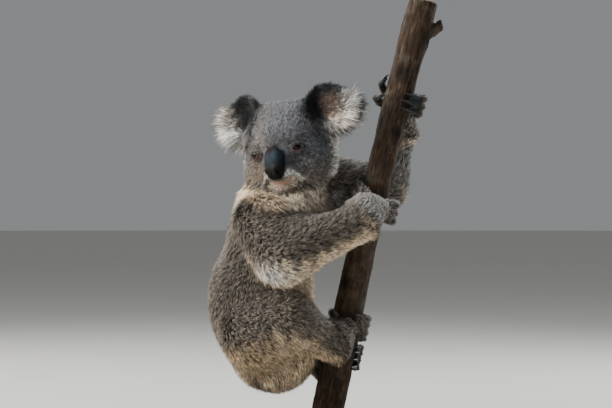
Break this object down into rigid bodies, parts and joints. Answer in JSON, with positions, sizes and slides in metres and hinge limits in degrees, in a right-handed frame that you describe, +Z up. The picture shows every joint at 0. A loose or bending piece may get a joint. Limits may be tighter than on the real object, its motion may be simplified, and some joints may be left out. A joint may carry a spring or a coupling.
{
  "type": "koala",
  "caption": "Koala clinging upright to a leaning cut length of tree trunk, head turned to its right, on a flat display base with a short rod.",
  "frame": {"origin": "centre of the stand's underside", "axes": "+Z up, +X the way the animal's belly faces, towards the trunk, -Y the side that its face looks to"},
  "size_m": [0.4764, 0.34, 0.8271],
  "materials": {
    "coat": "dense soft fur, grey-brown flecked with pale tips, cream on the underparts",
    "ear": "long silky white and grey fringe, dark at the base, pink skin inside",
    "paw": "short dark fur over black skin",
    "claw": "smooth dark horn",
    "nose": "bare dark leathery skin, satin",
    "eye": "wet brown eye with a dark pupil",
    "bark": "brown fibrous bark, pale sawn ends",
    "stand": "black satin lacquered board",
    "rod": "brushed steel"
  },
  "bodies": {
    "root": {"perch_trunk": "bark", "nose": "nose", "eye_left": "eye", "eye_right": "eye", "head": "coat", "neck": "coat", "trunk": "coat", "ear_left": "ear", "ear_right": "ear", "upper_arm_right": "coat", "forearm_right": "coat", "upper_arm_left": "coat", "forearm_left": "coat", "thigh_right": "coat", "shank_right": "coat", "thigh_left": "coat", "shank_left": "coat", "left_hand": "paw", "right_hand": "paw", "right_foot": "paw", "left_foot": "paw", "claw_left_hand_finger_1": "claw", "claw_left_hand_finger_2": "claw", "claw_left_hand_finger_3": "claw", "claw_left_hand_thumb_1": "claw", "claw_left_hand_thumb_2": "claw", "claw_right_hand_finger_1": "claw", "claw_right_hand_finger_2": "claw", "claw_right_hand_finger_3": "claw", "claw_right_hand_thumb_1": "claw", "claw_right_hand_thumb_2": "claw", "claw_right_foot_toe_1": "claw", "claw_right_foot_toe_2": "claw", "claw_right_foot_toe_3": "claw", "claw_right_foot_toe_4": "claw", "claw_left_foot_toe_1": "claw", "claw_left_foot_toe_2": "claw", "claw_left_foot_toe_3": "claw", "claw_left_foot_toe_4": "claw", "stand_base": "stand", "stand_rod": "rod"}
  },
  "joints": []
}
